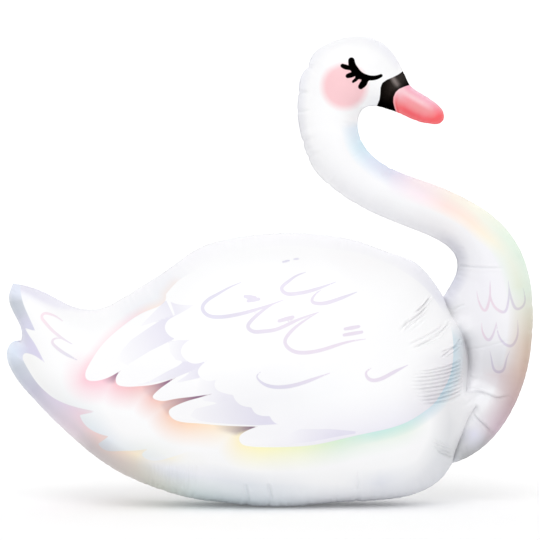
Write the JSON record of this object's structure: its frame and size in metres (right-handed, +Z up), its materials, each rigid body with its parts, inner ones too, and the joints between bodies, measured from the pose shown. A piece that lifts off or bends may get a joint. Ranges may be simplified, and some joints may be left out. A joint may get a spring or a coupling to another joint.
{
  "type": "swan foil balloon",
  "caption": "Inflated swan-shaped foil balloon: a sealed film envelope with a full body, an S-curved neck, a bill and a lobed tail, standing on its keel.",
  "frame": {"origin": "on the ground, under the middle of the swan's length and on the plane of its welded edge", "axes": "+Z up, +X from the tail to the breast, the welded edge in the plane Y = 0"},
  "size_m": [0.788, 0.295, 0.703],
  "materials": {
    "film": "satin white film, printed in soft colours"
  },
  "bodies": {
    "root": {"swan_balloon": "film"}
  },
  "joints": []
}
